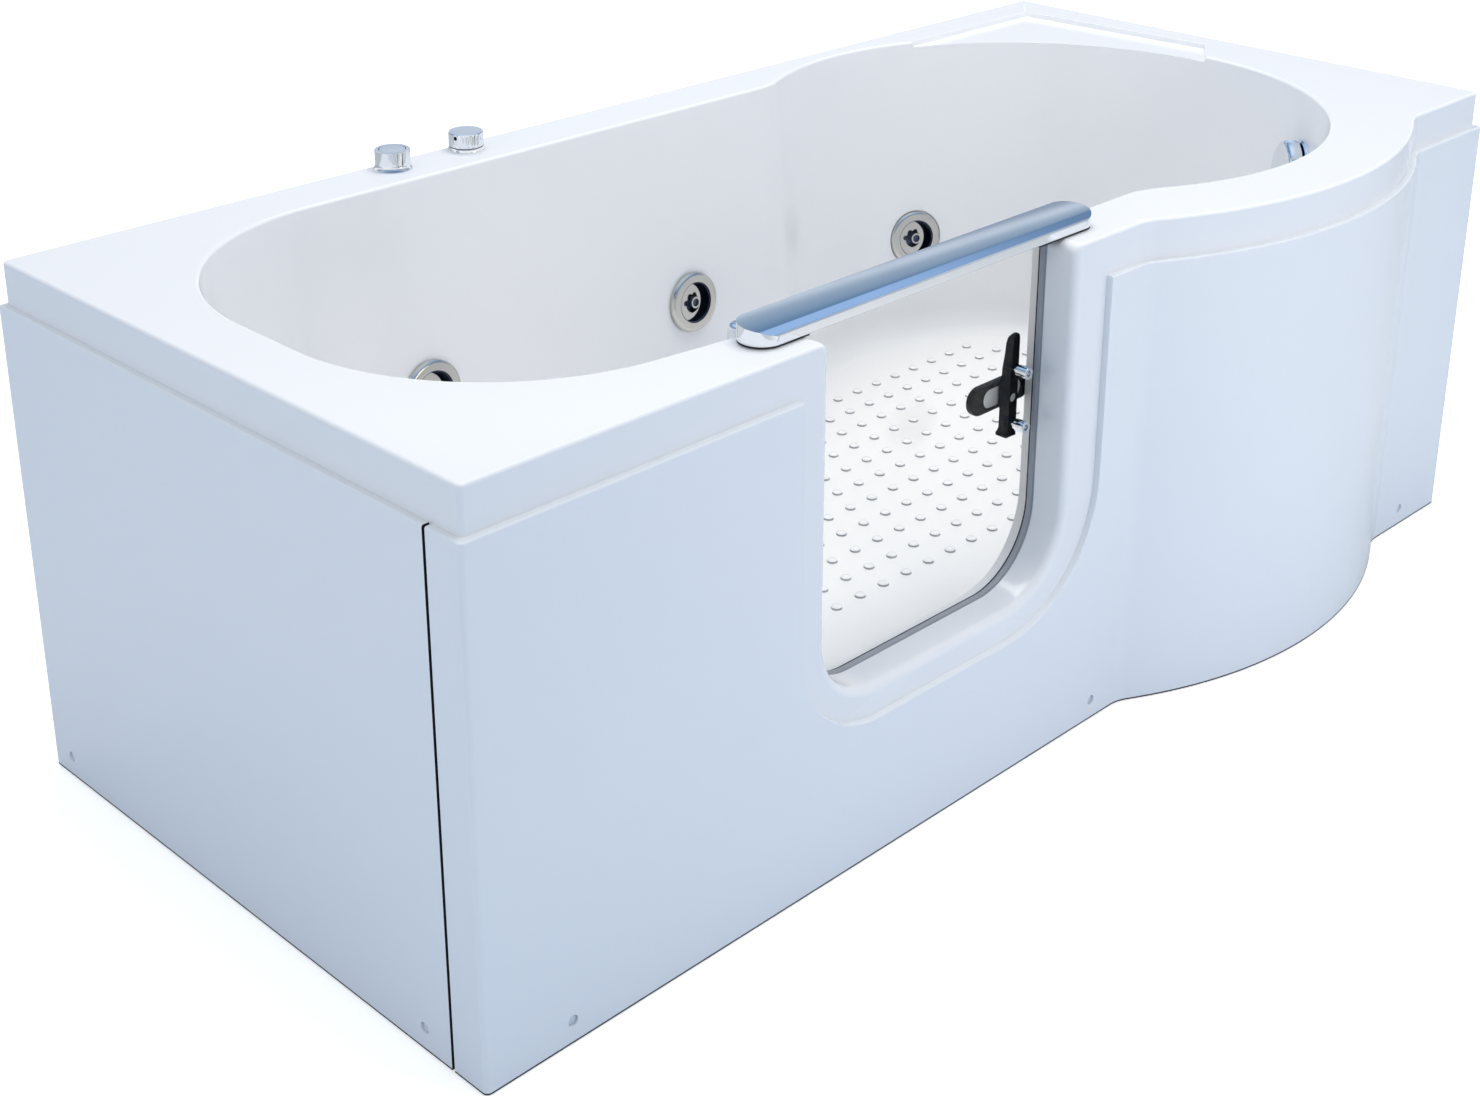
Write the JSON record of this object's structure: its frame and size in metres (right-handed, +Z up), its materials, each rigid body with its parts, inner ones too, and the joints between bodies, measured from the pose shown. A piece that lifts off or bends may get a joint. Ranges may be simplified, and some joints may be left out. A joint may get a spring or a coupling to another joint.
{
  "type": "walk-in bathtub with door",
  "caption": "Walk-in bath with a glass door that swings inward, a bowed wide end, water jets, rim controls, side panels, frame and pump.",
  "frame": {"origin": "middle of the tub's footprint, on the ground", "axes": "+X along the tub from the straight end to the bowed end, +Y from the panelled front to the wall side, +Z up"},
  "size_m": [1.712, 0.842, 0.6238],
  "materials": {
    "acrylic": "gloss",
    "panel": "gloss",
    "cap": "satin",
    "steel_frame": "satin",
    "zinc": "satin",
    "board": "matte",
    "rubber_black": "matte",
    "foot_plastic": "matte",
    "seal_grey": "satin",
    "chrome": "gloss",
    "nickel": "satin",
    "glass": "gloss",
    "lever_black": "gloss",
    "bush": "matte",
    "pipe_grey": "satin",
    "pipe_dark": "satin",
    "pump_body": "satin",
    "motor": "satin",
    "air_line": "satin"
  },
  "bodies": {
    "tub": {"tub_shell": "acrylic", "front_panel": "panel", "end_panel": "panel", "panel_caps": "cap", "panel_cleats": "zinc", "base_board": "board", "frame_side_rails": "steel_frame", "frame_cross_rails": "steel_frame", "frame_uprights": "steel_frame", "foot_pads": "foot_plastic", "foot_rods": "zinc", "foot_nuts": "zinc", "door_seal": "seal_grey", "hinge_brackets": "chrome", "hinge_bushes": "bush", "hinge_screws": "zinc", "latch_keeper": "chrome", "jet_ring_1": "nickel", "jet_ring_2": "nickel", "jet_ring_3": "nickel", "jet_body_1": "pipe_dark", "jet_body_2": "pipe_dark", "jet_body_3": "pipe_dark", "jet_nuts": "pipe_dark", "air_button_body": "nickel", "air_valve_body": "nickel", "overflow_body": "chrome", "overflow_pipe": "pipe_dark", "waste_flange": "chrome", "waste_body": "pipe_dark", "waste_outlet": "pipe_dark", "suction_grille": "nickel", "suction_body": "pipe_dark", "suction_pipe": "pipe_grey", "pump_motor": "motor", "pump_wet_end": "pump_body", "pump_base": "rubber_black", "water_pipe": "pipe_grey", "air_pipe": "air_line", "air_hose": "rubber_black"},
    "door": {"door_glass": "glass", "door_rail": "chrome", "rail_gaskets": "rubber_black", "hinge_post": "chrome", "hinge_clamps": "chrome", "latch_bar": "lever_black", "latch_screws": "chrome"},
    "latch": {"latch_lever": "lever_black", "latch_inlay": "nickel", "latch_spindle": "zinc"},
    "nozzle_1": {"jet_nozzle_1": "nickel"},
    "nozzle_2": {"jet_nozzle_2": "nickel"},
    "nozzle_3": {"jet_nozzle_3": "nickel"},
    "button": {"air_button": "chrome"},
    "air_control": {"air_knob": "nickel"},
    "overflow_control": {"overflow_knob": "chrome"},
    "plug": {"waste_plug": "chrome"}
  },
  "joints": [
    {"name": "door_swing", "type": "hinge", "parent": "tub", "child": "door", "pos_m": [-0.44, -0.243, 0.395], "axis": [0, 0, 1], "range_deg": [0, 95]},
    {"name": "latch_turn", "type": "hinge", "parent": "door", "child": "latch", "pos_m": [-0.049, -0.257, 0.416], "axis": [0, -1, 0], "range_deg": [0, 90]},
    {"name": "nozzle_1_turn", "type": "hinge", "parent": "tub", "child": "nozzle_1", "pos_m": [-0.389, 0.31845, 0.345], "axis": [0, -0.9954, 0.0957], "continuous": true},
    {"name": "nozzle_2_turn", "type": "hinge", "parent": "tub", "child": "nozzle_2", "pos_m": [0.038, 0.31845, 0.345], "axis": [0, -0.9954, 0.0957], "continuous": true},
    {"name": "nozzle_3_turn", "type": "hinge", "parent": "tub", "child": "nozzle_3", "pos_m": [0.51681, 0.34493, 0.311], "axis": [-0.3729, -0.9229, 0.0957], "continuous": true},
    {"name": "button_press", "type": "slide", "parent": "tub", "child": "button", "axis": [0, 0, -1], "range_m": [0, 0.004], "stiffness_N_per_m": 400, "springref_m": -0.004},
    {"name": "air_control_turn", "type": "hinge", "parent": "tub", "child": "air_control", "pos_m": [-0.26, 0.399, 0.61], "axis": [0, 0, 1], "range_deg": [0, 270]},
    {"name": "overflow_turn", "type": "hinge", "parent": "tub", "child": "overflow_control", "pos_m": [0.66152, -0.19015, 0.505], "axis": [-0.7625, 0.6398, 0.0957], "range_deg": [0, 90]},
    {"name": "plug_lift", "type": "slide", "parent": "tub", "child": "plug", "axis": [0, 0, 1], "range_m": [0, 0.01]}
  ],
  "couplings": [
    {"joint": "plug_lift", "follows": "overflow_turn", "m_per_rad": 0.006366}
  ]
}
